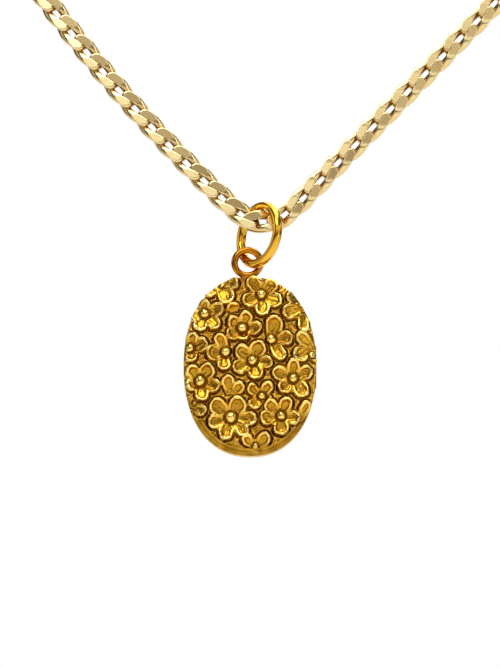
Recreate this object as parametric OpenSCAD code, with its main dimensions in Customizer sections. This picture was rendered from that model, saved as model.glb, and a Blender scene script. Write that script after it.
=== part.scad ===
// Small oval locket on a flat curb chain, hanging as it is worn.
// +X is to the wearer's left as seen from the front, -Y faces the viewer, +Z is up.
// The origin lies midway between the two ends of the chain, at the height of the end tag's eye.

/* [Locket case] */
// Width of the closed locket, without its hinge
case_w = 13.2; // [12:0.1:16]
// Height of the closed locket, without its loop
case_h = 18; // [16:0.1:22]
// Squareness of the oval outline, 2 is an ellipse
oval_power = 2.2; // [2:0.05:2.6]
// Depth of the front cover, in front of the parting line
cover_depth = 1.9; // [1.8:0.05:2.6]
// Depth of the back case, behind the parting line
back_depth = 1.5; // [1.45:0.05:2.2]
// Wall at the rim, where cover and case meet
rim_wall = 0.5; // [0.45:0.05:0.6]
// Thickness of the stamped cover and case away from the rim
sheet = 0.4; // [0.3:0.05:0.45]
// Height of the straight skirt of the cover
cover_skirt = 0.9; // [0.85:0.05:1]
// Height of the straight skirt of the back case
back_skirt = 0.6; // [0.58:0.02:0.64]

/* [Inner bezel and catch] */
// Wall of the inner bezel that the cover closes over
bezel_wall = 0.25; // [0.2:0.05:0.3]
// How far the bezel stands into the cover
bezel_proud = 0.35; // [0.25:0.05:0.36]
// Gap between the bezel and the cover
bezel_gap = 0.05; // [0.04:0.01:0.08]
// Radius of the ridge that the cover clicks over
ridge_r = 0.14; // [0.1:0.01:0.16]
// Length of that ridge
ridge_len = 1; // [0.6:0.1:2]
// Width of the thumb-nail notch in the back case
notch_w = 2; // [1.5:0.1:3]

/* [Hinge] */
// Radius of the knuckles
knuckle_r = 0.36; // [0.32:0.01:0.44]
// Length of the whole row of knuckles
hinge_len = 4.3; // [3.8:0.1:5.5]
// How far the hinge axis lies inside the widest point of the oval
hinge_inset = 0.33; // [0.28:0.01:0.36]
// Depth at which the cover begins to overhang the hinge
overhang_from = 0.55; // [0.5:0.01:0.65]
// Gap between neighbouring knuckles
knuckle_gap = 0.05; // [0.04:0.01:0.08]
// Gap between a knuckle and the shell that turns round it
hinge_gap = 0.05; // [0.04:0.01:0.08]
// Radius of the hinge pin
hinge_pin_r = 0.17; // [0.14:0.01:0.2]
// Radial running clearance of the pin in the cover's knuckles
pin_clearance = 0.02; // [0.015:0.005:0.03]

/* [Pictures] */
// Width of the rim of each photo frame
frame_w = 0.55; // [0.4:0.05:0.8]
// Thickness of each photo frame
frame_t = 0.3; // [0.25:0.05:0.35]
// Thickness of each clear window
window_t = 0.15; // [0.1:0.01:0.16]
// Thickness of each photo card
card_t = 0.18; // [0.12:0.01:0.2]
// Gap between the stacked pieces
stack_gap = 0.03; // [0.02:0.01:0.04]

/* [Loop and jump ring] */
// Outer diameter of the fixed loop on the case
loop_d = 3; // [2.8:0.1:3.6]
// Wire of the fixed loop
loop_wire = 0.5; // [0.4:0.05:0.5]
// Gap between the bottom of the loop and the oval
loop_stand = 0.2; // [0.05:0.05:0.3]
// Outer diameter of the jump ring
ring_d = 6.9; // [6.5:0.1:8.3]
// Wire of the jump ring
ring_wire = 0.95; // [0.75:0.05:1.05]
// Turn of the jump ring about the vertical, its right side nearest the viewer
ring_turn = 53; // [45:1:60]
// Lean of the jump ring's top towards +X
ring_lean = 7; // [0:1:10]

/* [Chain] */
// Wire of the curb links
link_wire = 0.58; // [0.5:0.01:0.6]
// Length of the hole in a link, before it is twisted
link_hole_len = 2.66; // [2.64:0.01:2.74]
// Width of the hole in a link, before it is twisted
link_hole_w = 1.08; // [1.06:0.01:1.2]
// Slack between one link and the next
link_play = 0.12; // [0.1:0.01:0.14]
// How much closer the links sit on each side of the one that carries the jump ring
vertex_slip = 0.2; // [0.16:0.01:0.24]
// Distance of the diamond-cut faces from the middle of the chain
link_flat = 0.56; // [0.5:0.01:0.7]
// Links to the left of the middle one
left_links = 13; // [6:1:13]
// Links to the right of the middle one
right_links = 14; // [6:1:14]
// Slope of the first link beside the middle one
vertex_bend = 38; // [34:1:40]
// Slope of the left leg just above the bend
left_low_angle = 44; // [42:1:46]
// Slope at the top of the left leg
left_top_angle = 54; // [46:1:56]
// Slope of the right leg just above the bend
right_low_angle = 46; // [42:1:47]
// Slope at the top of the right leg
right_top_angle = 46; // [44:1:50]

/* [End fittings] */
// Bore of the end tag that the clasp hooks into
tag_bore_r = 1.3; // [1.1:0.1:1.6]
// Thickness of the end tag
tag_t = 0.6; // [0.4:0.05:0.7]
// Wire of the connector ring
connector_wire = 0.5; // [0.4:0.05:0.5]
// Outer diameter of the connector ring
connector_d = 3.1; // [3.1:0.1:4]
// Outer radius of the clasp's claw
claw_r = 2.5; // [2.4:0.1:3]
// Width of the claw's arm
claw_w = 0.85; // [0.8:0.05:0.9]
// Thickness of the clasp
claw_t = 1.4; // [1.2:0.1:1.8]
// Radius of the clasp's pin
clasp_pin_r = 0.2; // [0.15:0.01:0.22]
// Running clearance of the pin in the lever
clasp_clearance = 0.03; // [0.02:0.01:0.05]

/* [Hidden] */
two_digits = function(i) i < 10 ? str("0", i) : str(i);
link_count = left_links + 1 + right_links;
function link_name(i) = str("chain_link_", two_digits(i + 1));
LOCKET_NODES = [
    "back_case", "case_knuckles", "hinge_pin", "inner_bezel", "catch_ridge", "bail_loop",
    "back_photo_frame", "back_window", "back_photo_card",
    "front_cover", "cover_knuckles", "front_photo_frame", "front_window", "front_photo_card",
    "jump_ring"
];
FITTING_NODES = [
    "connector_ring", "clasp_body", "clasp_pin", "clasp_spring", "clasp_lever", "end_tag"
];

contact = 0.03;
eps = 0.01;
wide = 40;
link_half_len = (link_hole_len + link_wire) / 2;
link_half_w = (link_hole_w + link_wire) / 2;
link_pitch = link_hole_len - link_play;
vertex_pitch = link_pitch - vertex_slip;
round_fn = 96;
oval_steps = 56;
case_a = case_w / 2;
case_b = case_h / 2;
ring_r = (ring_d - ring_wire) / 2;
loop_r = (loop_d - loop_wire) / 2;

// ---- the run of the chain, in the XZ plane from the middle link outwards ----
// A leg is its count of links, its slope just above the bend and its slope at the top
LEFT = [left_links, left_low_angle, left_top_angle];
RIGHT = [right_links, right_low_angle, right_top_angle];
function leg_angle(i, leg) =
    i == 0 ? 0 : i == 1 ? vertex_bend : leg[1] + (leg[2] - leg[1]) * (i - 2) / (leg[0] - 2);
function leg_step(i) =
    i == 1 ? vertex_pitch : i == 2 ? (vertex_pitch + link_pitch) / 2 : link_pitch;
function leg_move(i, leg) =
    let (slope = (leg_angle(i - 1, leg) + leg_angle(i, leg)) / 2)
        leg_step(i) * [cos(slope), sin(slope)];
function leg_point(i, leg) = i == 0 ? [0, 0] : leg_point(i - 1, leg) + leg_move(i, leg);
left_end = leg_point(left_links, LEFT);
right_end = leg_point(right_links, RIGHT);

// Distance from the last link's centre to the end tag's small hole, and on to its bore
tag_hole_r = 0.5;
tag_hole_at = link_half_len + tag_hole_r - link_wire / 2 - contact;
tag_span = tag_bore_r + tag_hole_r + 1.8;
// The connector ring, and the clasp's tail eye that it holds
connector_r = (connector_d - connector_wire) / 2;
connector_at = link_half_len - link_wire / 2 - connector_wire / 2 - contact + connector_r;
eye_r = 0.65;
eye_play = 0.1;
eye_at = connector_at + connector_r + eye_r - connector_wire / 2 - eye_play;
claw_at = eye_at + claw_r + 2.1;

tag_bore_run = tag_hole_at + tag_span;
right_x = right_end[0] + tag_bore_run * cos(right_top_angle);
left_x = left_end[0] + claw_at * cos(left_top_angle);
top_z = right_end[1] + tag_bore_run * sin(right_top_angle);
vertex = [(left_x - right_x) / 2, 0, -top_z];

// ---- the jump ring over the middle link, and the case below it ----
ring_drop = ring_r * cos(ring_lean) - (link_half_w + link_wire / 2 + ring_wire / 2 + contact);
ring_shift = -0.4;
ring_centre = vertex + [ring_shift, 0, -ring_drop];
// The loop hangs this far round from the jump ring's lowest point, in the plane of the ring
hang_angle = 25;
hang_across = -ring_r * sin(hang_angle);
hang_down = -ring_r * cos(hang_angle);
hang_x = hang_across * cos(ring_turn);
hang_point = [
    hang_x * cos(ring_lean) + hang_down * sin(ring_lean),
    -hang_across * sin(ring_turn),
    hang_down * cos(ring_lean) - hang_x * sin(ring_lean)
];
// Centre of the case's loop, seen from the middle of the ring's wire at that point
loop_off_wire = [-0.09, -0.05, -0.1];
loop_lift = loop_d / 2 + loop_stand;
// The loop's centre, seen from the middle of the oval
loop_from_case = [-0.25, 0.35, case_b + loop_lift];
case_centre = ring_centre + hang_point + loop_off_wire - loop_from_case;
hinge_x = case_a - hinge_inset;
shell_edge_x = hinge_x - contact;
inner_a = case_a - rim_wall;

// ---- outlines ----
function signed_power(v, p) = sign(v) * pow(abs(v), p);
function oval(inset) = [
    for (k = [0:oval_steps - 1])
        let (t = 360 * k / oval_steps)
            [(case_a - inset) * signed_power(cos(t), 2 / oval_power),
             (case_b - inset) * signed_power(sin(t), 2 / oval_power)]
];

// A solid ring or plate with the case's outline, from y_from to y_to
module oval_plate(inset, y_from, y_to) {
    translate([0, y_to, 0])
        rotate([90, 0, 0])
            linear_extrude(y_to - y_from)
                polygon(oval(inset));
}

module oval_band(outer_inset, inner_inset, y_from, y_to) {
    translate([0, y_to, 0])
        rotate([90, 0, 0])
            linear_extrude(y_to - y_from)
                difference() {
                    polygon(oval(outer_inset));
                    polygon(oval(inner_inset));
                }
}

// A closed skin through oval rings, each given as [inset, y]
module oval_skin(profile) {
    rings = len(profile);
    points = [
        for (ring = profile)
            for (p = oval(ring[0]))
                [p[0], ring[1], p[1]]
    ];
    sides = [
        for (r = [0:rings - 2])
            for (k = [0:oval_steps - 1])
                let (a = r * oval_steps + k, b = r * oval_steps + (k + 1) % oval_steps)
                    each [[a, b, b + oval_steps], [a, b + oval_steps, a + oval_steps]]
    ];
    first_cap = [for (k = [oval_steps - 1:-1:0]) k];
    last_cap = [for (k = [0:oval_steps - 1]) (rings - 1) * oval_steps + k];
    polyhedron(points, concat([first_cap], sides, [last_cap]));
}

// ---- hinge ----
knuckle_count = 5;
knuckle_len = (hinge_len - (knuckle_count - 1) * knuckle_gap) / knuckle_count;
function knuckle_z(i) = -hinge_len / 2 + i * (knuckle_len + knuckle_gap);

module knuckle_space(i, r, extra) {
    translate([hinge_x, 0, knuckle_z(i) - extra])
        cylinder(r = r, h = knuckle_len + 2 * extra, $fn = round_fn);
}

module knuckle_row(kept, bore_r) {
    for (i = kept)
        difference() {
            knuckle_space(i, knuckle_r, 0);
            translate([hinge_x, 0, -hinge_len])
                cylinder(r = bore_r, h = 2 * hinge_len, $fn = round_fn);
        }
}

case_row = [0, 2, 4];
cover_row = [1, 3];

// Cuts a shell for its own soldered knuckles and for the ones that turn against it,
// and trims its side to the hinge line from the depth y_from on
module hinge_cuts(own, other, y_from) {
    translate([shell_edge_x, y_from, -wide / 2])
        cube([wide, wide, wide]);
    for (i = own)
        knuckle_space(i, knuckle_r, knuckle_gap / 2);
    for (i = other)
        knuckle_space(i, knuckle_r + hinge_gap, knuckle_gap / 2);
}

// ---- locket ----
cover_outer = [
    [0, 0], [0, -cover_skirt], [0.14, -cover_skirt - 0.28], [0.5, -cover_skirt - 0.55],
    [1.3, -cover_depth + 0.24], [2.9, -cover_depth + 0.06], [4.4, -cover_depth]
];
cover_inner = [
    [4.4, -cover_depth + sheet], [2.9, -cover_depth + sheet + 0.06],
    [1.45, -cover_depth + sheet + 0.28], [rim_wall + 0.3, -cover_skirt - 0.12],
    [rim_wall, -cover_skirt + 0.05], [rim_wall, 0]
];
back_outer = [
    [0, 0], [0, back_skirt], [0.12, back_skirt + 0.28], [0.45, back_skirt + 0.55],
    [1.2, back_depth - 0.14], [2.4, back_depth]
];
back_inner = [
    [2.4, back_depth - sheet], [1.3, back_depth - sheet - 0.12],
    [rim_wall + 0.25, back_skirt + 0.2], [rim_wall, back_skirt], [rim_wall, 0]
];

module front_cover() {
    color("goldenrod")
        translate(case_centre)
            difference() {
                oval_skin(concat(cover_inner, cover_outer));
                hinge_cuts(cover_row, case_row, -overhang_from);
                // Groove that the catch ridge slides into
                translate([-inner_a - ridge_r, -bezel_proud, -ridge_len / 2 - bezel_gap])
                    cube([2 * ridge_r, bezel_proud + eps, ridge_len + 2 * bezel_gap]);
            }
}

function reversed(list) = [for (i = [len(list) - 1:-1:0]) list[i]];

module back_case() {
    color("goldenrod")
        translate(case_centre)
            difference() {
                oval_skin(concat(reversed(back_outer), reversed(back_inner)));
                hinge_cuts(case_row, cover_row, -wide / 2);
                // Thumb-nail notch
                translate([-case_a - notch_w / 4, 0, -notch_w / 2])
                    cylinder(r = notch_w / 3, h = notch_w, $fn = round_fn);
            }
}

module case_knuckles() {
    color("goldenrod")
        translate(case_centre)
            knuckle_row(case_row, hinge_pin_r);
}

module cover_knuckles() {
    color("goldenrod")
        translate(case_centre)
            knuckle_row(cover_row, hinge_pin_r + pin_clearance);
}

module hinge_pin() {
    color("gold")
        translate(case_centre + [hinge_x, 0, -hinge_len / 2])
            cylinder(r = hinge_pin_r, h = hinge_len, $fn = round_fn);
}

bezel_inset = rim_wall + bezel_gap;

module inner_bezel() {
    color("gold")
        translate(case_centre)
            difference() {
                union() {
                    oval_band(bezel_inset, bezel_inset + bezel_wall, -bezel_proud, 0);
                    oval_band(rim_wall, bezel_inset + bezel_wall, 0, back_skirt);
                }
                translate([hinge_x, 0, -hinge_len / 2 - knuckle_gap])
                    cylinder(r = knuckle_r + hinge_gap, h = hinge_len + 2 * knuckle_gap, $fn = round_fn);
            }
}

module catch_ridge() {
    color("gold")
        translate(case_centre)
            difference() {
                translate([-inner_a + bezel_gap, -bezel_proud / 2, -ridge_len / 2])
                    cylinder(r = ridge_r, h = ridge_len, $fn = round_fn);
                oval_plate(bezel_inset, -case_h, case_h);
            }
}

module bail_loop() {
    color("goldenrod")
        translate(case_centre + loop_from_case)
            difference() {
                union() {
                    rotate([90, 0, 0])
                        rotate_extrude($fn = round_fn)
                            translate([loop_r, 0])
                                circle(r = loop_wire / 2, $fn = 48);
                    // Solder foot under the loop
                    translate([0, 0, -loop_lift - loop_wire / 2])
                        cylinder(r = loop_wire / 2 - eps, h = loop_lift - loop_r + loop_wire / 2, $fn = 48);
                }
                translate(-loop_from_case)
                    oval_plate(0, -case_h, case_h);
            }
}

// The stack behind each window, from the parting line inwards
back_inset = bezel_inset + bezel_wall + stack_gap;
back_frame_y = -bezel_proud / 2;
back_window_y = back_frame_y + frame_t + stack_gap;
back_card_y = back_window_y + window_t + stack_gap;
front_inset = rim_wall + stack_gap;
front_frame_y = -bezel_proud - stack_gap;
front_window_y = front_frame_y - frame_t - stack_gap;
front_card_y = front_window_y - window_t - stack_gap;
card_inset = rim_wall + 0.6;

module back_photo_frame() {
    color("gold")
        translate(case_centre)
            oval_band(back_inset, back_inset + frame_w, back_frame_y, back_frame_y + frame_t);
}

module back_window() {
    color("lightcyan")
        translate(case_centre)
            oval_plate(back_inset, back_window_y, back_window_y + window_t);
}

module back_photo_card() {
    color("ivory")
        translate(case_centre)
            oval_plate(back_inset, back_card_y, back_card_y + card_t);
}

module front_photo_frame() {
    color("gold")
        translate(case_centre)
            difference() {
                oval_band(front_inset, front_inset + frame_w, front_frame_y - frame_t, front_frame_y);
                translate([hinge_x, 0, -hinge_len / 2])
                    cylinder(r = knuckle_r + hinge_gap, h = hinge_len, $fn = round_fn);
            }
}

module front_window() {
    color("lightcyan")
        translate(case_centre)
            oval_plate(card_inset - 0.2, front_window_y - window_t, front_window_y);
}

module front_photo_card() {
    color("ivory")
        translate(case_centre)
            oval_plate(card_inset, front_card_y - card_t, front_card_y);
}

module jump_ring() {
    slit_angle = 1.5;
    color("goldenrod")
        translate(ring_centre)
            rotate([0, ring_lean, 0])
                rotate([0, 0, -ring_turn])
                    rotate([90, 0, 0])
                        rotate([0, 0, 20])
                            rotate_extrude(angle = 360 - slit_angle, $fn = 2 * round_fn)
                                translate([ring_r, 0])
                                    circle(r = ring_wire / 2, $fn = 64);
}

// ---- curb chain ----
link_steps = 28;
link_sides = 8;
link_power = 3.6;
link_twist = 45;

// Middle of the wire at angle t round a link that lies along X
function link_twist_at(x) = link_twist * sin(90 * x / link_half_len);
function link_middle(t) =
    let (x = link_half_len * signed_power(cos(t), 2 / link_power),
         w = link_half_w * signed_power(sin(t), 2 / link_power),
         roll = link_twist_at(x))
        [x, w * sin(roll), w * cos(roll)];
function unit(v) = v / norm(v);
function cut_flat(p) = [p[0], max(-link_flat, min(link_flat, p[1])), p[2]];
function link_ring(t) =
    let (middle = link_middle(t),
         along = unit(link_middle(t + 1) - link_middle(t - 1)),
         roll = link_twist_at(middle[0]),
         face = [0, cos(roll), -sin(roll)],
         up = unit(face - (face * along) * along),
         out = cross(up, along))
        [for (s = [0:link_sides - 1])
            let (turn = 360 * (s + 0.5) / link_sides)
                cut_flat(middle + link_wire / 2 * (cos(turn) * out + sin(turn) * up))];

module curb_link() {
    points = [for (k = [0:link_steps - 1]) each link_ring(360 * (k + 0.5) / link_steps)];
    faces = [
        for (k = [0:link_steps - 1])
            for (s = [0:link_sides - 1])
                let (a = k * link_sides + s,
                     b = k * link_sides + (s + 1) % link_sides,
                     c = ((k + 1) % link_steps) * link_sides + (s + 1) % link_sides,
                     d = ((k + 1) % link_steps) * link_sides + s)
                    each [[a, b, c], [a, c, d]]
    ];
    polyhedron(points, faces);
}

// Link i, counted from the top of the left leg to the top of the right leg
module chain_link(i) {
    step = i - left_links;
    leg = step < 0 ? LEFT : RIGHT;
    side = step < 0 ? -1 : 1;
    p = leg_point(abs(step), leg);
    color("palegoldenrod")
        translate(vertex + [side * p[0], 0, p[1]])
            rotate([0, -side * leg_angle(abs(step), leg), 0])
                curb_link();
}

// ---- end fittings: children lie along +X, outwards from the last link's centre ----
module at_left_end() {
    translate(vertex + [-left_end[0], 0, left_end[1]])
        rotate([0, left_top_angle - 180, 0])
            children();
}

module at_right_end() {
    translate(vertex + [right_end[0], 0, right_end[1]])
        rotate([0, -right_top_angle, 0])
            children();
}

module end_tag() {
    waist = 0.7;
    color("palegoldenrod")
        at_right_end()
            rotate([-link_twist, 0, 0])
                translate([tag_hole_at, 0, -tag_t / 2])
                    linear_extrude(tag_t)
                        difference() {
                            union() {
                                circle(r = tag_hole_r + 0.45, $fn = round_fn);
                                translate([tag_span, 0])
                                    circle(r = tag_bore_r + 0.8, $fn = round_fn);
                                translate([0, -waist])
                                    square([tag_span, 2 * waist]);
                            }
                            circle(r = tag_hole_r, $fn = round_fn);
                            translate([tag_span, 0])
                                circle(r = tag_bore_r, $fn = round_fn);
                        }
}

module connector_ring() {
    color("palegoldenrod")
        at_left_end()
            rotate([-link_twist, 0, 0])
                translate([connector_at, 0, 0])
                    rotate_extrude($fn = round_fn)
                        translate([connector_r, 0])
                            circle(r = connector_wire / 2, $fn = 48);
}

// The claw opens between these angles, and the lever's root lies in a slot up to the last one
gap_from = 25;
gap_to = 104;
slot_to = 142;
pivot_angle = 120;
root_to = 130;
lever_t = claw_t / 2 - 0.1;
slot_t = lever_t + 2 * clasp_clearance;
arm_mid = claw_r - claw_w / 2;
pivot = arm_mid * [cos(pivot_angle), sin(pivot_angle)];

module at_clasp(height) {
    at_left_end()
        rotate([link_twist, 0, 0])
            translate([claw_at, 0, height])
                children();
}

module wedge(from, to) {
    reach = 2 * claw_r;
    polygon([
        [0, 0],
        for (k = [0:6])
            let (t = from + (to - from) * k / 6)
                reach * [cos(t), sin(t)]
    ]);
}

module arm_ring(margin) {
    difference() {
        circle(r = claw_r - margin, $fn = round_fn);
        circle(r = claw_r - claw_w + margin, $fn = round_fn);
    }
}

module clasp_body() {
    tail_t = 0.8;
    eye_x = eye_at - claw_at;
    color("palegoldenrod")
        difference() {
            union() {
                at_clasp(-claw_t / 2)
                    linear_extrude(claw_t)
                        difference() {
                            arm_ring(0);
                            wedge(gap_from, gap_to);
                        }
                at_clasp(-tail_t / 2)
                    linear_extrude(tail_t)
                        difference() {
                            union() {
                                translate([eye_x, 0])
                                    circle(r = eye_r + 0.45, $fn = round_fn);
                                polygon([
                                    [eye_x, -0.6], [1 - claw_r, -1.1], [1 - claw_r, 1.1], [eye_x, 0.6]
                                ]);
                            }
                            translate([eye_x, 0])
                                circle(r = eye_r, $fn = round_fn);
                            circle(r = claw_r - claw_w / 2, $fn = round_fn);
                        }
            }
            at_clasp(-slot_t / 2)
                linear_extrude(slot_t)
                    wedge(gap_from, slot_to);
            at_clasp(-claw_t)
                translate([pivot[0], pivot[1], 0])
                    cylinder(r = clasp_pin_r, h = 2 * claw_t, $fn = round_fn);
        }
}

module clasp_lever() {
    tip_gap = 3;
    tab_r = 0.5;
    color("palegoldenrod")
        at_clasp(-lever_t / 2)
            linear_extrude(lever_t)
                difference() {
                    union() {
                        intersection() {
                            arm_ring(0.06);
                            wedge(gap_from + tip_gap, root_to);
                        }
                        rotate(gap_to - 10)
                            translate([claw_r, 0])
                                circle(r = tab_r, $fn = 48);
                    }
                    translate(pivot)
                        circle(r = clasp_pin_r + clasp_clearance, $fn = round_fn);
                }
}

module clasp_pin() {
    color("gold")
        at_clasp(-claw_t / 2)
            translate([pivot[0], pivot[1], 0])
                cylinder(r = clasp_pin_r, h = claw_t, $fn = round_fn);
}

module clasp_spring() {
    spring_t = 0.15;
    color("silver")
        at_clasp(-lever_t / 2)
            linear_extrude(lever_t)
                intersection() {
                    difference() {
                        circle(r = arm_mid, $fn = round_fn);
                        circle(r = arm_mid - spring_t, $fn = round_fn);
                    }
                    wedge(root_to + 4, slot_to);
                }
}

back_case();
case_knuckles();
hinge_pin();
inner_bezel();
catch_ridge();
bail_loop();
back_photo_frame();
back_window();
back_photo_card();
front_cover();
cover_knuckles();
front_photo_frame();
front_window();
front_photo_card();
jump_ring();
connector_ring();
clasp_body();
clasp_pin();
clasp_spring();
clasp_lever();
end_tag();
for (i = [0:link_count - 1])
    chain_link(i);
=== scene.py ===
# Gold locket with a flower-relief cover on a V of curb chain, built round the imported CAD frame.
import math
import random

import bpy
import numpy as np
from mathutils import Matrix, Vector


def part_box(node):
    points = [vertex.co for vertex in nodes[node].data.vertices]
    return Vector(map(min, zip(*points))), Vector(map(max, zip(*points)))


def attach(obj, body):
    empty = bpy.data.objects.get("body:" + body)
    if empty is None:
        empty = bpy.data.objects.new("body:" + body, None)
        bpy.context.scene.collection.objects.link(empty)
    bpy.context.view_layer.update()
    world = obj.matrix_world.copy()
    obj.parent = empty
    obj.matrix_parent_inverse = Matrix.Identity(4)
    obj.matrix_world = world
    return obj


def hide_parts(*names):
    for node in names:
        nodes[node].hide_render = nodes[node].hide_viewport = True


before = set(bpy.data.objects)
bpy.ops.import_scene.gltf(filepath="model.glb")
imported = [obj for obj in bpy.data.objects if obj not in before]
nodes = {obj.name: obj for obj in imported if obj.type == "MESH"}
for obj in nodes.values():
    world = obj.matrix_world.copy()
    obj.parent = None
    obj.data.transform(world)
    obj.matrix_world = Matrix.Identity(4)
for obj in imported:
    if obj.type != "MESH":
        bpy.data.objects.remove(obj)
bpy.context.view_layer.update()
MM = 0.001


# ---------------------------------------------------------------- places taken from the frame
def middle(node):
    low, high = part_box(node)
    return (low + high) / 2


case_low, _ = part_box("back_case")
cover_low, cover_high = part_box("front_cover")
PARTING_Y = cover_high.y
CASE_HALF_W = (middle("back_photo_card").x - case_low.x) / MM
CASE_HALF_H = (cover_high.z - cover_low.z) / 2 / MM
CASE_CENTRE = Vector((middle("back_photo_card").x, PARTING_Y, (cover_low.z + cover_high.z) / 2))
OVAL_POWER = 2.2
OVERHANG = 0.55
PIN = middle("hinge_pin")
pin_low, pin_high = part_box("hinge_pin")
knuckle_low, knuckle_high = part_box("case_knuckles")
HINGE_END_GAP = 0.02
HINGE_LINE_GAP = 0.03
KNUCKLE_GAP = 0.05
HINGE_HALF_LEN = (pin_high.z - pin_low.z) / 2 / MM + HINGE_END_GAP
KNUCKLE_SPACE = (knuckle_high.x - knuckle_low.x) / 2 / MM + KNUCKLE_GAP
NOTCH_HALF = 1.0
NOTCH_R = NOTCH_HALF * 2 / 3
NOTCH_OUT = NOTCH_HALF / 2


# ---------------------------------------------------------------- small helpers
def new_object(name, mesh):
    obj = bpy.data.objects.new(name, mesh)
    bpy.context.scene.collection.objects.link(obj)
    return obj


def mesh_from(name, points, faces):
    """A smooth-shaded mesh from points in millimetres."""
    mesh = bpy.data.meshes.new(name)
    mesh.from_pydata([tuple(c * MM for c in p) for p in points], [], faces)
    mesh.validate()
    mesh.polygons.foreach_set("use_smooth", [True] * len(mesh.polygons))
    return mesh


def smoothstep(low, high, value):
    t = np.clip((value - low) / (high - low), 0, 1)
    return t * t * (3 - 2 * t)


def signed_power(value, power):
    return np.sign(value) * np.abs(value) ** power


def oval_point(angle, inset=0.0):
    """Point of the case's outline, in millimetres from the middle of the oval."""
    return ((CASE_HALF_W - inset) * signed_power(np.cos(angle), 2 / OVAL_POWER),
            (CASE_HALF_H - inset) * signed_power(np.sin(angle), 2 / OVAL_POWER))


# ---------------------------------------------------------------- materials
def fill_ramp(ramp, stops):
    """Sets a colour ramp from its stops, each a position and a colour."""
    while len(ramp.elements) < len(stops):
        ramp.elements.new(0.5)
    for element, (position, colour) in zip(ramp.elements, stops):
        element.position = position
        element.color = (*colour, 1.0)


class Nodes:
    """Short form for building a material's node tree."""

    def __init__(self, name):
        self.material = bpy.data.materials.new(name)
        self.material.use_nodes = True
        self.tree = self.material.node_tree
        self.shader = self.tree.nodes["Principled BSDF"]

    def add(self, kind, **values):
        node = self.tree.nodes.new(kind)
        for key, value in values.items():
            if key in node.inputs:
                node.inputs[key].default_value = value
            else:
                setattr(node, key, value)
        return node

    def link(self, source, target):
        self.tree.links.new(source, target)

    def object_place(self):
        return self.add("ShaderNodeTexCoord").outputs["Object"]

    def noise(self, scale, detail=3.0, place=None):
        node = self.add("ShaderNodeTexNoise", Scale=scale, Detail=detail)
        self.link(place or self.object_place(), node.inputs["Vector"])
        return node.outputs["Fac"]

    def ramp(self, factor, stops):
        node = self.add("ShaderNodeValToRGB")
        fill_ramp(node.color_ramp, stops)
        self.link(factor, node.inputs["Fac"])
        return node.outputs["Color"]

    def mix(self, factor, first, second, blend="MIX"):
        node = self.add("ShaderNodeMix", data_type="RGBA", blend_type=blend)
        for socket, value in (("Factor", factor), ("A", first), ("B", second)):
            found = [s for s in node.inputs if s.name == socket and s.enabled][0]
            if isinstance(value, bpy.types.NodeSocket):
                self.link(value, found)
            elif socket == "Factor":
                found.default_value = value
            else:
                found.default_value = (*value, 1.0)
        return [s for s in node.outputs if s.enabled][0]

    def math(self, operation, first, second=0.5, clamp=False):
        node = self.add("ShaderNodeMath", operation=operation, use_clamp=clamp)
        for index, value in enumerate((first, second)):
            if isinstance(value, bpy.types.NodeSocket):
                self.link(value, node.inputs[index])
            else:
                node.inputs[index].default_value = value
        return node.outputs[0]

    def span(self, factor, low, high):
        node = self.add("ShaderNodeMapRange")
        node.inputs["To Min"].default_value = low
        node.inputs["To Max"].default_value = high
        self.link(factor, node.inputs["Value"])
        return node.outputs[0]

    def bump(self, height, distance, strength=1.0, normal=None):
        node = self.add("ShaderNodeBump", Strength=strength, Distance=distance)
        self.link(height, node.inputs["Height"])
        if normal is not None:
            self.link(normal, node.inputs["Normal"])
        return node.outputs["Normal"]

    def attribute(self, name):
        return self.add("ShaderNodeAttribute", attribute_name=name).outputs["Fac"]


EDGE_WEAR = 0.25
SCRATCH_STRENGTH = 0.5


def metal(name, light, dark, roughness, grain=900.0, grain_height=0.004, recess_patina_and_shade=None):
    """Polished metal: colour drift, fine grain, hair scratches, worn edges and, if asked, dark recesses with
    patina and painted shade.
    """
    n = Nodes(name)
    place = n.object_place()
    drift = n.noise(260.0, 4.0, place)
    colour = n.mix(n.span(drift, 0.0, 1.0), dark, light)
    edge = n.add("ShaderNodeNewGeometry").outputs["Pointiness"]
    rubbed = n.ramp(edge, [(0.49, (0, 0, 0)), (0.56, (1, 1, 1))])
    rubbed_amount = n.math("MULTIPLY", rubbed, EDGE_WEAR)
    colour = n.mix(rubbed_amount, colour, tuple(min(1.0, c * 1.12 + 0.03) for c in light))
    # Painted shade with patina: darker where the mesh marks its recesses
    if recess_patina_and_shade:
        patchy = n.span(n.noise(1400.0, 3.0, place), 0.7, 1.2)
        shade = n.math("MULTIPLY", n.attribute("recess_patina_and_shade"), patchy, clamp=True)
        colour = n.mix(shade, colour, recess_patina_and_shade)
    n.link(colour, n.shader.inputs["Base Color"])
    stretch = n.add("ShaderNodeMapping")
    stretch.inputs["Scale"].default_value = (1.0, 1.0, 7.0)
    n.link(place, stretch.inputs["Vector"])
    hair = n.noise(2400.0, 2.0, stretch.outputs["Vector"])
    fine = n.noise(grain, 6.0, place)
    rough = n.math("ADD", n.span(fine, roughness - 0.05, roughness + 0.07), n.span(hair, -0.03, 0.03))
    n.link(rough, n.shader.inputs["Roughness"])
    low = n.bump(fine, grain_height * MM * 10, 0.6)
    n.link(n.bump(hair, 0.003 * MM, SCRATCH_STRENGTH, low), n.shader.inputs["Normal"])
    n.shader.inputs["Metallic"].default_value = 1.0
    return n.material


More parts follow.
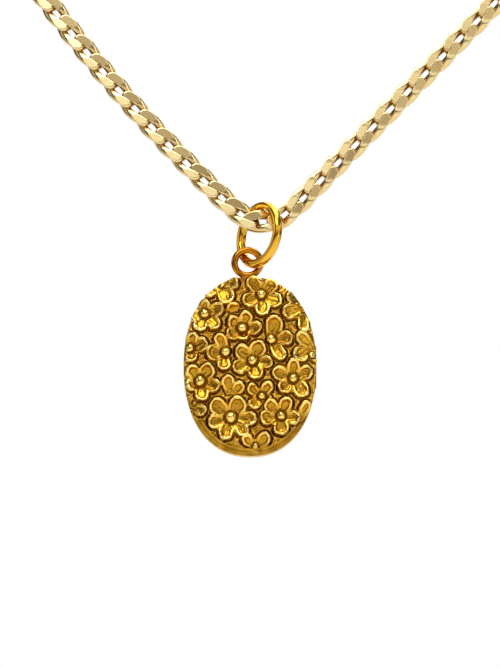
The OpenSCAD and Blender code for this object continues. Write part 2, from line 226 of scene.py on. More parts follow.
def relief_gold():
    """Cover: rims, ball crowns and ridges painted bright, partly as rubbed wear and partly as painted
    highlight; satin dishes and ground; dark brown patina with painted shade in the hollows.
    """
    n = Nodes("relief_gold")
    place = n.object_place()
    rub_and_highlight = n.attribute("rub_and_highlight")
    patina_and_shade = n.attribute("patina_and_shade")
    # Painted highlight: the tone climbs from the ground to the rims, ball crowns and ridges, partly as rubbed
    # wear
    tone = n.ramp(rub_and_highlight, [(0.0, (0.46, 0.235, 0.016)), (0.30, (0.60, 0.33, 0.030)),
                           (0.65, (0.80, 0.51, 0.085)), (1.0, (0.95, 0.73, 0.20))])
    drift = n.noise(700.0, 5.0, place)
    tone = n.mix(n.span(drift, 0.0, 0.25), tone, (0.36, 0.15, 0.010))
    # Dark brown in the hollows: partly patina, partly painted shade
    patina_and_shade_spread = n.math("MULTIPLY", patina_and_shade, n.span(n.noise(1500.0, 4.0, place), 0.75, 1.25), clamp=True)
    tone = n.mix(patina_and_shade_spread, tone, (0.09, 0.026, 0.001))
    n.link(tone, n.shader.inputs["Base Color"])
    grain = n.noise(5200.0, 4.0, place)
    rough = n.math("ADD", n.span(rub_and_highlight, 0.24, 0.14), n.span(grain, -0.05, 0.06))
    n.link(rough, n.shader.inputs["Roughness"])
    hammered = n.bump(n.noise(2100.0, 3.0, place), 0.014 * MM, 0.5)
    n.link(n.bump(grain, 0.012 * MM, 0.5, hammered), n.shader.inputs["Normal"])
    n.shader.inputs["Metallic"].default_value = 1.0
    return n.material


def window_material():
    n = Nodes("window_acetate")
    place = n.object_place()
    smear = n.noise(300.0, 3.0, place)
    n.link(n.span(smear, 0.04, 0.12), n.shader.inputs["Roughness"])
    n.link(n.mix(smear, (0.93, 0.96, 0.95), (1.0, 1.0, 1.0)), n.shader.inputs["Base Color"])
    n.shader.inputs["Transmission Weight"].default_value = 1.0
    n.shader.inputs["IOR"].default_value = 1.47
    return n.material


def card_material():
    n = Nodes("photo_card_paper")
    place = n.object_place()
    fibre = n.noise(1800.0, 8.0, place)
    n.link(n.mix(fibre, (0.80, 0.75, 0.64), (0.93, 0.90, 0.82)), n.shader.inputs["Base Color"])
    n.link(n.span(fibre, 0.7, 0.9), n.shader.inputs["Roughness"])
    n.link(n.bump(fibre, 0.01 * MM, 0.5), n.shader.inputs["Normal"])
    return n.material


RELIEF = relief_gold()
CASE_GOLD = metal("case_gold", (0.92, 0.62, 0.19), (0.74, 0.44, 0.10), 0.25)
RING_GOLD = metal("ring_gold", (0.90, 0.54, 0.06), (0.60, 0.28, 0.018), 0.09,
                  grain=500.0, grain_height=0.003)
# Painted shade: the loop is the case's gold painted much darker
LOOP_GOLD_SHADED = metal("loop_gold_painted_shade", (0.54, 0.23, 0.012), (0.34, 0.12, 0.004), 0.2,
                  grain=600.0, grain_height=0.003)
# The links' dark recess colour is painted shade with patina, where neighbouring links cover them
LINK_GOLD = metal("link_gold", (0.93, 0.75, 0.40), (0.80, 0.60, 0.27), 0.15,
                  grain=500.0, grain_height=0.0008, recess_patina_and_shade=(0.36, 0.20, 0.035))
FITTING_GOLD = metal("fitting_gold", (0.91, 0.72, 0.37), (0.78, 0.57, 0.25), 0.2,
                     grain=500.0, grain_height=0.002)
STEEL = metal("spring_steel", (0.62, 0.62, 0.63), (0.42, 0.42, 0.44), 0.28)
WINDOW = window_material()
CARD = card_material()


def dress(obj, material):
    obj.data.materials.clear()
    obj.data.materials.append(material)


# ---------------------------------------------------------------- relief cover
# Each flower, in millimetres from the middle of the oval: its place (x, z), the radius of its ball or 0, and
# its petals as (direction in degrees, reach, half width). The last three are single beads.
# The highest flowers stand about 0.5 mm in front of the plain CAD cover. This is an open fault.
FLOWERS = [
    ((1.17, 7.36), 0.48, [(124, 2.00, 0.66), (46, 1.90, 0.64), (-25, 2.05, 0.66), (-88, 2.12, 0.68),
                          (206, 1.95, 0.66)]),
    ((-4.52, 5.46), 0.46, [(95, 1.35, 0.50), (19, 1.92, 0.62), (-47, 1.95, 0.58), (-111, 1.78, 0.58),
                           (195, 1.35, 0.50)]),
    ((-3.15, 8.20), 0.0, [(-53, 1.95, 0.74), (14, 1.95, 0.58), (205, 1.60, 0.60)]),
    ((-0.78, 3.95), 0.44, [(70, 1.66, 0.56), (1, 1.80, 0.58), (-83, 1.22, 0.48), (211, 1.60, 0.56),
                           (145, 1.58, 0.56)]),
    ((2.10, 2.80), 0.47, [(78, 2.36, 0.80), (5, 2.05, 0.66), (-61, 2.30, 0.50)]),
    ((0.23, 0.66), 0.46, [(68, 2.05, 0.74), (139, 2.02, 0.66), (206, 2.02, 0.66), (-73, 1.88, 0.64),
                          (-5, 1.92, 0.54)]),
    ((-2.40, 1.52), 0.44, [(114, 1.90, 0.50), (182, 1.90, 0.72), (-100, 1.75, 0.52)]),
    ((-6.00, 2.00), 0.40, [(12, 1.75, 0.66), (75, 1.45, 0.50), (-82, 1.35, 0.50)]),
    ((-4.95, -1.38), 0.48, [(127, 1.80, 0.60), (54, 1.85, 0.66), (-20, 1.92, 0.62), (-83, 1.92, 0.62),
                            (204, 1.35, 0.56)]),
    ((-1.95, -5.08), 0.56, [(139, 2.42, 0.74), (59, 2.20, 0.76), (-4, 2.52, 0.66), (-46, 2.30, 0.52),
                            (-106, 2.18, 0.64), (195, 2.20, 0.62)]),
    ((3.09, -4.84), 0.46, [(138, 1.98, 0.62), (66, 1.78, 0.58), (-10, 1.88, 0.62), (-90, 1.92, 0.66),
                           (191, 2.00, 0.64)]),
    ((4.29, -1.10), 0.46, [(161, 2.05, 0.66), (24, 1.95, 0.60), (-55, 2.16, 0.66), (229, 1.75, 0.62),
                           (87, 1.80, 0.58)]),
    ((1.14, -2.87), 0.36, [(143, 1.52, 0.46), (56, 1.50, 0.46), (229, 1.58, 0.46), (-25, 1.0, 0.35)]),
    ((-1.85, -2.75), 0.0, [(106, 1.85, 0.58), (46, 1.52, 0.56)]),
    ((0.50, -7.90), 0.26, [(144, 1.42, 0.46), (38, 1.76, 0.56)]),
    ((-5.90, -3.75), 0.0, [(-27, 1.62, 0.48), (200, 1.2, 0.5)]),
    ((5.40, 5.90), 0.0, [(191, 2.10, 0.70), (-88, 2.20, 0.52), (133, 2.20, 0.56)]),
    ((6.28, 2.02), 0.0, [(136, 1.95, 0.56), (209, 2.02, 0.70), (-80, 1.30, 0.42)]),
    ((-1.60, 5.50), 0.0, [(98, 0.95, 0.62)]),
    ((4.80, -5.30), 0.0, [(60, 2.05, 0.40)]),
    ((-2.85, 8.35), 0.26, []),
    ((5.25, 6.15), 0.25, []),
    ((6.20, 1.30), 0.34, []),
]
RIM_HEIGHT = 0.40
RIM_MIDDLE = 0.20
RIM_HALF = 0.27
CUP_RISE = 0.42
PETAL_SWELL = 0.18
RIDGE_RISE = 0.24
RIDGE_AWAY = 0.20
VIEW_LIFT = 0.2
INNER_DEPTH = 1.15
PETAL_ROOT = 0.24
BALL_SCALE = 1.12
BALL_FOOT = 0.06
BALL_RISE = 1.1
MOAT_WIDTH = 0.14
MOAT_FLOOR = 0.03
FAR_AWAY = 9.0
DOME_EDGE = 0.94
DOME_RISE = 0.48
DOME_ROLL = 1.1
RIDGE_HALF = 0.065
BETWEEN_HALF = 0.11
FOOT_HALF = 0.11
FOOT_DEPTH = 0.06
BACK_ROLL = 2.4
BACK_EDGE = 0.6
BACK_RISE = 0.9
BACK_POWER = 2.2


def petal(x, z, centre, direction, reach, half_width):
    """Height of one cupped petal over the ground, distance outside its outline, and how near its rim is,
    which sets the rim's painted highlight (partly rubbed wear).
    """
    a = math.radians(direction)
    u = (x - centre[0]) * math.cos(a) + (z - centre[1]) * math.sin(a)
    v = -(x - centre[0]) * math.sin(a) + (z - centre[1]) * math.cos(a)
    along = np.clip((u - PETAL_ROOT) / (reach - PETAL_ROOT), 0.0, 1.0)
    # Tear-drop outline: narrow root, widest near two thirds of the reach, round tip
    belly = half_width * (0.46 + 0.54 * np.sin(np.pi * np.clip(along, 0, 0.6) / 1.2))
    tip = np.hypot(np.maximum(u - (reach - half_width), 0.0), v) - half_width
    outside = np.where(u > reach - half_width, tip, np.abs(v) - belly)
    outside = np.maximum(outside, PETAL_ROOT - u) - PETAL_SWELL
    inner = -outside
    # The petal is a cup that opens towards the ball: its floor climbs to the tip, inside a thick rolled rim
    wobble = 1 + 0.22 * value_noise(x, z, 0.40, 12) + 0.25 * math.sin(direction * 1.7 + centre[0] * 3)
    open_end = smoothstep(0.15, 0.85, along)
    floor = 0.04 + CUP_RISE * along ** 1.5 + 0.035 * (v / half_width) ** 2
    floor = (floor + 0.018 * value_noise(u, v * 3.0, 0.30, 13)) * smoothstep(0.0, 0.12, inner)
    roll = np.sqrt(np.clip(1 - ((inner - RIM_MIDDLE) / RIM_HALF) ** 2, 0, 1))
    rim_top = floor + RIM_HEIGHT * (0.22 + 0.78 * open_end) * wobble
    surface = np.where(inner < RIM_MIDDLE, rim_top * roll, floor + (rim_top - floor) * roll ** 1.4)
    surface = np.where(outside < 0.02, surface, -1.0)
    # The third value paints the rim lighter, most towards the tip: painted highlight, partly rubbed wear
    return surface, outside, smoothstep(0.2, 0.95, roll) * (0.2 + 0.8 * open_end)


def flower_fields(x, z):
    """Highest relief over the ground, its rim field (painted highlight with rubbed wear on rims and ball
    crowns), and the distances to the two nearest petals and ball.
    """
    relief = np.zeros_like(x)
    rim = np.zeros_like(x)
    nearest = np.full_like(x, FAR_AWAY)
    second = np.full_like(x, FAR_AWAY)
    moat = np.full_like(x, FAR_AWAY)

    def lay(surface, outside, bright):
        nonlocal relief, rim, nearest, second
        top = surface > relief
        rim = np.where(top, bright, rim)
        relief = np.maximum(relief, surface)
        second = np.minimum(second, np.maximum(nearest, outside))
        nearest = np.minimum(nearest, outside)

    for (cx, cz), ball, petals in FLOWERS:
        centre = (cx, cz - VIEW_LIFT)
        for direction, reach, half_width in petals:
            lay(*petal(x, z, centre, direction, reach, half_width))
        if ball:
            ball = ball * BALL_SCALE
            r = np.hypot(x - centre[0], z - centre[1])
            cap = np.sqrt(np.clip(1 - (r / ball) ** 2, 0, 1))
            # A moat round the ball cuts back the petals' roots
            cut = (r > ball) & (r < ball + MOAT_WIDTH)
            relief = np.where(cut, np.minimum(relief, MOAT_FLOOR), relief)
            moat = np.minimum(moat, np.abs(r - ball))
            dome = np.where(r < ball, BALL_FOOT + BALL_RISE * ball * cap, -1.0)
            # The ball's crown is painted lighter: painted highlight, partly rubbed wear
            lay(dome, r - ball, smoothstep(0.25, 0.9, cap))
    return relief, rim, nearest, second, moat


def value_noise(x, z, cell, seed):
    """Smooth seeded noise on a square lattice, from -1 to 1."""
    rng = np.random.default_rng(seed)
    table = rng.uniform(-1, 1, (64, 64))
    gx, gz = x / cell + 200, z / cell + 200
    ix, iz = np.floor(gx).astype(int), np.floor(gz).astype(int)
    fx, fz = gx - ix, gz - iz
    fx, fz = fx * fx * (3 - 2 * fx), fz * fz * (3 - 2 * fz)
    corner = [table[(ix + i) % 64, (iz + j) % 64] for i in (0, 1) for j in (0, 1)]
    low = corner[0] * (1 - fz) + corner[1] * fz
    high = corner[2] * (1 - fz) + corner[3] * fz
    return low * (1 - fx) + high * fx


def hump(distance, middle_at, half_width):
    """A smooth hump of height 1 round one distance."""
    return np.exp(-((distance - middle_at) / half_width) ** 2)


def edge_distance(x, z):
    """Rough distance inwards from the oval's edge, in millimetres."""
    q = (np.abs(x / CASE_HALF_W) ** OVAL_POWER + np.abs(z / CASE_HALF_H) ** OVAL_POWER) ** (1 / OVAL_POWER)
    return np.where(q < 1e-4, CASE_HALF_W, (1 - q) * np.hypot(x, z) / np.maximum(q, 1e-6))


def cover_height(x, z):
    """Height of the cover's face before the parting line, its two colour fields (painted highlight with
    rubbed wear, and patina with painted shade) and its edge's bulge.
    """
    inset = edge_distance(x, z)
    base = DOME_EDGE + DOME_RISE * (1 - np.exp(-inset / DOME_ROLL))
    wx = x + 0.08 * value_noise(x, z, 0.70, 3) + 0.03 * value_noise(x, z, 0.25, 14)
    wz = z + 0.08 * value_noise(x, z, 0.70, 4) + 0.03 * value_noise(x, z, 0.25, 15)
    relief, rim, nearest, second, moat = flower_fields(wx, wz)
    ground = smoothstep(0.0, 0.03, nearest)
    # Thin ridges follow the petals at a small distance and run midway between them
    follow = hump(nearest, RIDGE_AWAY, RIDGE_HALF) * smoothstep(0.02, 0.16, second - nearest)
    between = hump(second, nearest, BETWEEN_HALF) * smoothstep(0.02, 0.10, nearest)
    between = between * smoothstep(0.60, 0.40, nearest)
    line = np.maximum(0.8 * follow, between) * ground
    pitted = 0.008 * value_noise(x, z, 0.22, 5)
    foot = hump(nearest, 0.04, FOOT_HALF) * ground
    relief = relief + ground * (RIDGE_RISE * line - FOOT_DEPTH * foot + pitted)
    # A plain band with a fine ridge rounds the lower end, where the relief dies away
    low_band = smoothstep(-4.6, -6.8, z) * (1 - smoothstep(0.45, 0.85, inset))
    fade = (0.55 + 0.45 * smoothstep(0.0, 0.5, inset)) * (1 - 0.9 * low_band)
    lower = smoothstep(-3.6, -6.2, z)
    band_line = lower * (0.13 * hump(inset, 0.62, 0.07) + 0.07 * hump(inset, 0.3, 0.05))
    dents = 0.014 * value_noise(x, z, 0.3, 7)
    # Painted highlight: rims, ball crowns and ridges are painted lighter, partly as rubbed wear; the noise is
    # the metal's own tone
    rub_and_highlight = np.clip(0.12 + 0.95 * rim * fade + 0.50 * line + 0.05 * value_noise(x, z, 0.4, 8), 0, 1)
    # Patina with painted shade darkens the foot of each petal and the moat round each ball
    round_ball = hump(moat, 0.0, 0.10)
    patina_and_shade = np.clip(0.9 * foot + 0.8 * round_ball, 0, 1) * np.clip(fade, 0, 1)
    # Painted shade darkens the deep ground under the top rim, which is also cut lower; the lower band is
    # darkened too
    top_pit_shade = smoothstep(7.6, 8.5, z) * smoothstep(-3.6, -2.6, x) * smoothstep(0.6, -0.4, x) * ground
    band_shade = lower * smoothstep(1.0, 0.75, inset) * (0.42 + 0.3 * value_noise(x, z, 0.5, 16))
    patina_and_shade = np.clip(patina_and_shade + 0.7 * top_pit_shade + band_shade - 2.5 * band_line, 0, 1)
    bulge = 0.20 * smoothstep(0.6, 0.0, inset) * np.clip(relief * fade, 0, 0.6)
    return base + relief * fade + band_line - 0.12 * top_pit_shade + dents, rub_and_highlight, patina_and_shade, bulge


def ring_counts(rows, spacing):
    """How many points each oval ring takes so that the triangles stay even."""
    perimeter = math.pi * (CASE_HALF_W + CASE_HALF_H)
    return [max(8, int(round(perimeter * s / spacing))) for s in rows]


def stitch(first, first_count, first_phase, second, second_count, second_phase, faces):
    """Triangles between two closed rings of points that have different counts and starting angles."""
    i = j = 0
    while i < first_count or j < second_count:
        next_i = (i + 1 + first_phase) / first_count
        next_j = (j + 1 + second_phase) / second_count
        here = first + i % first_count
        there = second + j % second_count
        if j >= second_count or (i < first_count and next_i <= next_j):
            faces.append((here, first + (i + 1) % first_count, there))
            i += 1
        else:
            faces.append((here, second + (j + 1) % second_count, there))
            j += 1


def trim_hinge_side(places, up_to_depth):
    """Cuts a shell back to the hinge line up to a depth, and round the knuckles, in millimetres."""
    hinge_x = (PIN.x - CASE_CENTRE.x) / MM
    depth = np.abs(places[:, 1])
    side = (places[:, 0] > hinge_x - HINGE_LINE_GAP) & (depth < up_to_depth)
    places[side, 0] = hinge_x - HINGE_LINE_GAP
    around = np.sqrt(np.clip(KNUCKLE_SPACE ** 2 - depth ** 2, 0, None))
    near = (np.abs(places[:, 2]) < HINGE_HALF_LEN) & (depth < KNUCKLE_SPACE)
    places[near, 0] = np.minimum(places[near, 0], hinge_x - around[near])


def back_height(x, z):
    """Depth of the plain back: flat in the middle, rolling over into the rim."""
    t = np.clip(edge_distance(x, z) / BACK_ROLL, 0, 1)
    depth = BACK_EDGE + BACK_RISE * np.clip(1 - (1 - t) ** BACK_POWER, 0, 1) ** (1 / BACK_POWER)
    return depth + 0.004 * value_noise(x, z, 1.1, 31) * t


def cut_notch(places):
    """Thumb-nail notch at the left of the parting line."""
    around = np.sqrt(np.clip(NOTCH_R ** 2 - places[:, 1] ** 2, 0, None)) - NOTCH_OUT
    near = (np.abs(places[:, 2]) < NOTCH_HALF) & (np.abs(places[:, 1]) < NOTCH_R)
    places[near, 0] = np.maximum(places[near, 0], -CASE_HALF_W + around[near])


TURN_BETWEEN_ROWS = 0.618
WHOLE_DEPTH = 9.0


def build_shell(name, node, body, material, spacing, row_count, profile, relief):
    """A closed shell: its face on oval rings, then a skirt and the inside as (inset, depth) in profile."""
    rows = [(k + 1) / row_count for k in range(row_count)]
    counts = ring_counts(rows, spacing)
    phases = [(k * TURN_BETWEEN_ROWS) % 1.0 for k in range(row_count)]
    xs, zs = [np.zeros(1)], [np.zeros(1)]
    for s, count, phase in zip(rows, counts, phases):
        angle = 2 * math.pi * (np.arange(count) + phase) / count
        px, pz = oval_point(angle)
        xs.append(px * s)
        zs.append(pz * s)
    x, z = np.concatenate(xs), np.concatenate(zs)
    if relief:
        height, rub_and_highlight, patina_and_shade, bulge = cover_height(x, z)
        away = np.maximum(np.hypot(x, z), 0.01)
        x, z = x * (1 + bulge / away), z * (1 + bulge / away)
    else:
        height = back_height(x, z)
        rub_and_highlight = patina_and_shade = np.zeros_like(x)
    points = np.stack([x, -height, z], 1)
    starts = np.concatenate([[1], 1 + np.cumsum(counts)])
    faces = [(0, 1 + i, 1 + (i + 1) % counts[0]) for i in range(counts[0])]
    for k in range(row_count - 1):
        stitch(int(starts[k]), counts[k], phases[k], int(starts[k + 1]), counts[k + 1], phases[k + 1], faces)
    outer = counts[-1]
    angle = 2 * math.pi * (np.arange(outer) + phases[-1]) / outer
    all_points = [points]
    last = int(starts[-2])
    total = len(points)
    for inset, depth in profile:
        px, pz = oval_point(angle, inset)
        worn = 0.015 * value_noise(px, pz + depth, 0.6, 9)
        all_points.append(np.stack([px, np.full(outer, -depth) + worn * (inset < 0), pz], 1))
        for i in range(outer):
            j = (i + 1) % outer
            faces.append((last + i, last + j, total + j, total + i))
        last = total
        total += outer
    all_points.append(np.array([[0.0, -profile[-1][1], 0.0]]))
    faces += [(last + i, last + (i + 1) % outer, total) for i in range(outer)]
    places = np.concatenate(all_points)
    trim_hinge_side(places, OVERHANG if relief else WHOLE_DEPTH)
    if not relief:
        cut_notch(places)
        places[:, 1] *= -1
        faces = [tuple(reversed(face)) for face in faces]
    mesh = mesh_from(name, places + np.array(CASE_CENTRE) / MM, faces)
    rest = total + 1 - len(rub_and_highlight)
    # These carry the cover's painted highlight and its patina with painted shade to its material
    for label, values, filler in (("rub_and_highlight", rub_and_highlight, 0.45), ("patina_and_shade", patina_and_shade, 0.0)):
        layer = mesh.attributes.new(label, "FLOAT", "POINT")
        layer.data.foreach_set("value", np.concatenate([values, np.full(rest, filler)]).astype(np.float32))
    shell = new_object(name, mesh)
    dress(shell, material)
    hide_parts(node)
    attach(shell, body)


PARTING_GAP = 0.012
# The cover and the case's catch_ridge overlap by about 0.7 mm3 when shut. This is an open fault.
COVER_PROFILE = [(-0.03, 0.84), (-0.03, 0.70), (-0.02, OVERHANG + 0.01), (-0.02, OVERHANG - 0.01),
                 (-0.02, 0.3), (0.0, 0.07), (0.05, PARTING_GAP), (0.45, PARTING_GAP), (0.5, 0.06),
                 (0.5, 0.5), (0.52, 0.85), (0.8, 1.0), (1.1, 1.09), (1.6, 1.13), (2.9, INNER_DEPTH),
                 (4.4, INNER_DEPTH)]
BACK_PROFILE = [(-0.01, 0.45), (-0.01, 0.2), (0.0, 0.07), (0.05, PARTING_GAP), (0.45, PARTING_GAP),
                (0.5, 0.06), (0.5, 0.55), (0.75, 0.8), (1.3, 0.98), (2.4, 1.1), (4.4, 1.1)]
build_shell("relief_cover", "front_cover", "cover", RELIEF, 0.056, 150, COVER_PROFILE, True)
build_shell("plain_back", "back_case", "case", CASE_GOLD, 0.10, 84, BACK_PROFILE, False)


# ---------------------------------------------------------------- curb links
# The wire is thicker than the CAD links' 0.58, so the links stand outside their CAD boxes by about 0.15 mm,
# and neighbours cut into each other by about 0.23 mm3. This is an open fault.
LINK_WIRE = 0.84
LINK_SIDE = 0.92
LINK_HALF_LEN = 1.69
LINK_HALF_W = 0.69
LINK_POWER = 3.6
LINK_TWIST = math.radians(45)
LINK_FLAT = 0.43
LOWER_LEAN = 0.11
UPPER_LEAN = -0.01
LINK_STEPS = 72
LINK_SIDES = 20
NUDGE = 0.01


def link_middle(t):
    """Point of a link's middle line, and how far the wire has rolled there."""
    x = LINK_HALF_LEN * signed_power(math.cos(t), 2 / LINK_POWER)
    w = LINK_HALF_W * signed_power(math.sin(t), 2 / LINK_POWER)
    roll = LINK_TWIST * math.sin(math.pi / 2 * x / LINK_HALF_LEN)
    return Vector((x, w * math.sin(roll), w * math.cos(roll))), roll


def link_mesh(name, rng, slope):
    """One twisted link with its two diamond-cut faces on each side, lying along X.

    The cut on the lower strand leans upwards, so it catches the light from above.
    """
    points, faces, recess_patina_and_shade = [], [], []
    lean = rng.uniform(-0.02, 0.02)
    for k in range(LINK_STEPS):
        t = 2 * math.pi * (k + 0.5) / LINK_STEPS
        place, roll = link_middle(t)
        along = (link_middle(t + NUDGE)[0] - link_middle(t - NUDGE)[0]).normalized()
        face = Vector((0, math.cos(roll), -math.sin(roll)))
        up = (face - along * face.dot(along)).normalized()
        out = up.cross(along)
        wide = (LINK_WIRE + (LINK_SIDE - LINK_WIRE) * abs(math.sin(t)) ** 1.5) / 2
        for s in range(LINK_SIDES):
            a = 2 * math.pi * (s + 0.5) / LINK_SIDES
            p = place + out * wide * math.cos(a) + up * (LINK_WIRE / 2) * math.sin(a)
            rise = p.x * math.sin(slope) + p.z * math.cos(slope)
            flat = LINK_FLAT + lean * p.x
            front = -flat + (LOWER_LEAN if rise < 0 else UPPER_LEAN) * rise
            back = flat + UPPER_LEAN * rise
            cut = p.y < front or p.y > back
            p.y = max(front, min(back, p.y))
            points.append(p)
            # Painted shade with patina: all but the cut faces are darkened, most on the wire's inner side and
            # at the link ends where neighbours pass
            inside = max(0.0, -math.cos(a)) ** 0.7
            end = abs(math.cos(t)) ** 3
            recess_patina_and_shade.append(0.0 if cut else min(1.0, 0.35 + 0.75 * inside + 0.5 * end * (p.z > -0.2)))
    for k in range(LINK_STEPS):
        n = (k + 1) % LINK_STEPS
        for s in range(LINK_SIDES):
            m = (s + 1) % LINK_SIDES
            faces.append((k * LINK_SIDES + s, k * LINK_SIDES + m, n * LINK_SIDES + m, n * LINK_SIDES + s))
    mesh = mesh_from(name, points, faces)
    layer = mesh.attributes.new("recess_patina_and_shade", "FLOAT", "POINT")
    layer.data.foreach_set("value", recess_patina_and_shade)
    return mesh


def principal_slope(node):
    """Slope of a CAD link in the XZ plane, from the spread of its vertices."""
    co = np.array([v.co for v in nodes[node].data.vertices])
    flat = co[:, [0, 2]] - co[:, [0, 2]].mean(0)
    _, vectors = np.linalg.eigh(flat.T @ flat)
    x, z = vectors[:, 1]
    if x < 0:
        x, z = -x, -z
    return math.atan2(z, x)


def build_links():
    rng = random.Random(11)
    names = sorted(n for n in nodes if n.startswith("chain_link_"))
    for node in names:
        slope = principal_slope(node)
        name = "curb_" + node[-2:]
        mesh = link_mesh(name, rng, slope)
        mesh.transform(Matrix.Rotation(-slope, 4, "Y"))
        mesh.transform(Matrix.Translation(middle(node)))
        link = new_object(name, mesh)
        dress(link, LINK_GOLD)
        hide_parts(node)
        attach(link, "chain")


build_links()


# ---------------------------------------------------------------- rings and the loop
JUMP_RING_RADIUS = 2.975
JUMP_RING_WIRE = 0.95
JUMP_RING_SEAM = 0.9
# Thicker than the CAD loop's 0.5 wire, as the photo shows it, so it stands outside that loop's box
LOOP_WIRE = 0.68
LOOP_WIRE_INSET = 0.20
LOOP_SEAM = -1.2


def ring_frame(node):
    """Middle, normal and the two in-plane directions of a CAD ring, from its own vertices."""
    places = np.array([v.co for v in nodes[node].data.vertices])
    centre = (places.max(0) + places.min(0)) / 2
    _, vectors = np.linalg.eigh((places - centre).T @ (places - centre))
    return centre / MM, vectors[:, 0], vectors[:, 1], vectors[:, 2]


def wire_ring(centre, normal, first, second, middle_radius, wire, seam, rng):
    """Round wire bent to a ring, with a shallow butt seam at one angle and hand-bent unevenness."""
    steps, sides = 144, 28
    points, faces = [], []
    phase = [rng.uniform(0, 2 * math.pi) for _ in range(3)]
    for k in range(steps):
        t = 2 * math.pi * k / steps
        off = (t - seam + math.pi) % (2 * math.pi) - math.pi
        pinch = 1 - 0.10 * math.exp(-(off / 0.025) ** 2)
        uneven = 1 + 0.012 * math.sin(3 * t + phase[0]) + 0.008 * math.sin(7 * t + phase[1])
        thick = wire / 2 * pinch * uneven
        radius = middle_radius * (1 + 0.004 * math.sin(2 * t + phase[2]))
        out = first * math.cos(t) + second * math.sin(t)
        for i in range(sides):
            a = 2 * math.pi * i / sides
            points.append(centre + out * (radius + thick * math.cos(a)) + normal * thick * math.sin(a))
    for k in range(steps):
        n = (k + 1) % steps
        for i in range(sides):
            m = (i + 1) % sides
            faces.append((k * sides + i, k * sides + m, n * sides + m, n * sides + i))
    return points, faces


def place_ring(name, node, material, body, points, faces):
    ring = new_object(name, mesh_from(name, points, faces))
    dress(ring, material)
    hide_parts(node)
    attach(ring, body)


def build_jump_ring():
    centre, normal, first, second = ring_frame("jump_ring")
    points, faces = wire_ring(centre, normal, first, second, JUMP_RING_RADIUS, JUMP_RING_WIRE,
                              JUMP_RING_SEAM, random.Random(21))
    place_ring("bright_jump_ring", "jump_ring", RING_GOLD, "jump_ring", points, faces)


def build_bail_loop():
    low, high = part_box("bail_loop")
    top = high.z / MM
    outer = (high.x - low.x) / MM / 2
    centre = np.array([(low.x + high.x) / 2 / MM, (low.y + high.y) / 2 / MM, top - outer])
    across, up, normal = np.array([1.0, 0, 0]), np.array([0, 0, 1.0]), np.array([0, 1.0, 0])
    points, faces = wire_ring(centre, normal, across, up, outer - LOOP_WIRE_INSET, LOOP_WIRE,
                              LOOP_SEAM, random.Random(22))
    # Solder foot: a flared neck from the loop's wire down on to the case's rim
    rows, sides = 12, 40
    start = len(points)
    foot_top = centre[2] - outer + 0.30
    case_top = CASE_CENTRE.z / MM + CASE_HALF_H
    for k in range(rows):
        t = k / (rows - 1)
        z = foot_top + (case_top - 0.16 - foot_top) * t
        rx = 0.62 + 0.52 * t ** 1.8
        ry = 0.24 + 0.12 * t ** 1.8
        for i in range(sides):
            a = 2 * math.pi * i / sides
            sag = 0.10 * (rx * math.cos(a)) ** 2 * t
            points.append(np.array([centre[0] + rx * math.cos(a), centre[1] + ry * math.sin(a), z - sag]))
    for k in range(rows - 1):
        for i in range(sides):
            m = (i + 1) % sides
            faces.append((start + k * sides + i, start + k * sides + m, start + (k + 1) * sides + m,
                          start + (k + 1) * sides + i))
    faces.append(tuple(start + i for i in reversed(range(sides))))
    faces.append(tuple(start + (rows - 1) * sides + i for i in range(sides)))
    place_ring("soldered_bail_loop", "bail_loop", LOOP_GOLD_SHADED, "case", points, faces)


build_jump_ring()
build_bail_loop()


# ---------------------------------------------------------------- CAD pieces that keep their shape
BEVEL_SEGMENTS = 3
BEVEL_ANGLE = math.radians(30)


def soften(node, material, width=0.04):
    """Dresses a CAD piece and rounds its sharp edges, to a width in millimetres."""
    obj = nodes[node]
    dress(obj, material)
    bevel = obj.modifiers.new("edge", "BEVEL")
    bevel.width = width * MM
    bevel.segments = BEVEL_SEGMENTS
    bevel.limit_method = "ANGLE"
    bevel.angle_limit = BEVEL_ANGLE
    bevel.harden_normals = False


for name in ("case_knuckles", "cover_knuckles", "hinge_pin", "inner_bezel", "catch_ridge",
             "back_photo_frame", "front_photo_frame"):
    soften(name, CASE_GOLD)
for name in ("connector_ring", "clasp_body", "clasp_pin", "clasp_lever", "end_tag"):
    soften(name, FITTING_GOLD, 0.08)
dress(nodes["clasp_spring"], STEEL)
for name in ("back_window", "front_window"):
    dress(nodes[name], WINDOW)
for name in ("back_photo_card", "front_photo_card"):
    dress(nodes[name], CARD)


# ---------------------------------------------------------------- floor, light and camera
FLOOR_Z = -0.150


def build_floor():
    mesh = bpy.data.meshes.new("floor")
    half = 3.0
    corners = [(x, y, FLOOR_Z) for x, y in ((-half, -half), (half, -half), (half, half), (-half, half))]
    mesh.from_pydata(corners, [], [(0, 1, 2, 3)])
    floor = new_object("floor", mesh)
    n = Nodes("pale_paper")
    grain = n.noise(90.0, 5.0)
    n.link(n.mix(grain, (0.78, 0.77, 0.76), (0.84, 0.83, 0.82)), n.shader.inputs["Base Color"])
    n.shader.inputs["Roughness"].default_value = 0.9
    dress(floor, n.material)


def area_light(name, place, aim, size, glow):
    """A white soft box whose face is as bright as glow, whatever its size."""
    data = bpy.data.lights.new(name, "AREA")
    data.shape = "RECTANGLE"
    data.size, data.size_y = size
    data.energy = glow * math.pi * size[0] * size[1]
    obj = new_object(name, data)
    obj.location = place
    obj.rotation_mode = "QUATERNION"
    obj.rotation_quaternion = (Vector(aim) - Vector(place)).to_track_quat("-Z", "Y")


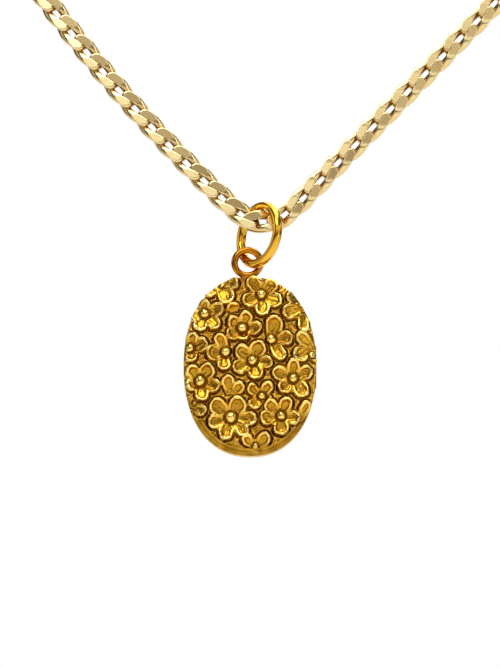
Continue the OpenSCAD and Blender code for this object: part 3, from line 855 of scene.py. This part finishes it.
def build_world():
    """White behind the object, and a graded studio for everything that the metal reflects."""
    world = bpy.data.worlds.new("studio")
    bpy.context.scene.world = world
    world.use_nodes = True
    tree = world.node_tree
    tree.nodes.clear()
    out = tree.nodes.new("ShaderNodeOutputWorld")
    mix = tree.nodes.new("ShaderNodeMixShader")
    path = tree.nodes.new("ShaderNodeLightPath")
    seen = tree.nodes.new("ShaderNodeBackground")
    seen.inputs["Color"].default_value = (1, 1, 1, 1)
    studio = tree.nodes.new("ShaderNodeBackground")
    place = tree.nodes.new("ShaderNodeTexCoord")
    split = tree.nodes.new("ShaderNodeSeparateXYZ")
    spread = tree.nodes.new("ShaderNodeMapRange")
    spread.inputs["From Min"].default_value = -1.0
    spread.inputs["From Max"].default_value = 1.0
    ramp = tree.nodes.new("ShaderNodeValToRGB")
    stops = [(0.0, (0.16, 0.09, 0.03)), (0.18, (0.03, 0.016, 0.005)), (0.46, (0.055, 0.030, 0.010)),
             (0.53, (0.16, 0.115, 0.065)), (0.60, (0.50, 0.46, 0.40)), (0.68, (1.05, 1.04, 1.02)),
             (0.76, (0.52, 0.50, 0.48)), (0.86, (0.45, 0.44, 0.43)), (0.92, (1.7, 1.7, 1.7))]
    fill_ramp(ramp.color_ramp, stops)
    link = tree.links.new
    link(place.outputs["Generated"], split.inputs[0])
    link(split.outputs["Z"], spread.inputs["Value"])
    link(spread.outputs[0], ramp.inputs["Fac"])
    # Darker to both sides, as between the softboxes of a studio
    beside = tree.nodes.new("ShaderNodeMath")
    beside.operation = "ABSOLUTE"
    flags = tree.nodes.new("ShaderNodeValToRGB")
    bands = [(0.42, 1.0), (0.60, 0.15), (0.80, 0.20), (0.93, 1.1)]
    fill_ramp(flags.color_ramp, [(position, (grey,) * 3) for position, grey in bands])
    shade = tree.nodes.new("ShaderNodeVectorMath")
    shade.operation = "MULTIPLY"
    link(split.outputs["X"], beside.inputs[0])
    link(beside.outputs[0], flags.inputs["Fac"])
    link(ramp.outputs["Color"], shade.inputs[0])
    link(flags.outputs["Color"], shade.inputs[1])
    studio.inputs["Strength"].default_value = 1.1
    link(shade.outputs[0], studio.inputs["Color"])
    link(path.outputs["Is Camera Ray"], mix.inputs["Fac"])
    link(studio.outputs[0], mix.inputs[1])
    link(seen.outputs[0], mix.inputs[2])
    link(mix.outputs[0], out.inputs["Surface"])


def build_camera():
    """Straight in front of the case, looking up at it from nine degrees below."""
    elevation = math.radians(-9)
    distance = 0.400
    view_height = 66.7
    aim_above_case = 3.35
    aim = Vector((CASE_CENTRE.x, 0.0, CASE_CENTRE.z + aim_above_case * MM))
    back = Vector((0, -math.cos(elevation), math.sin(elevation)))
    data = bpy.data.cameras.new("camera")
    data.sensor_width = 36.0
    data.lens = data.sensor_width * distance / MM / view_height
    data.clip_start = 0.01
    data.clip_end = 20.0
    camera = new_object("camera", data)
    camera.location = aim + back * distance
    camera.rotation_mode = "QUATERNION"
    camera.rotation_quaternion = (-back).to_track_quat("-Z", "Y")
    bpy.context.scene.camera = camera


build_floor()
build_world()
area_light("key", (-0.12, -0.30, 0.24), CASE_CENTRE, (0.26, 0.12), 5.0)
area_light("top", (0.06, -0.04, 0.30), CASE_CENTRE, (0.36, 0.2), 3.0)
area_light("side", (0.30, -0.30, 0.02), CASE_CENTRE, (0.10, 0.30), 2.0)
area_light("behind", (0.1, 0.45, 0.2), CASE_CENTRE, (0.4, 0.3), 2.0)
build_camera()
bpy.context.scene.view_settings.view_transform = "Standard"
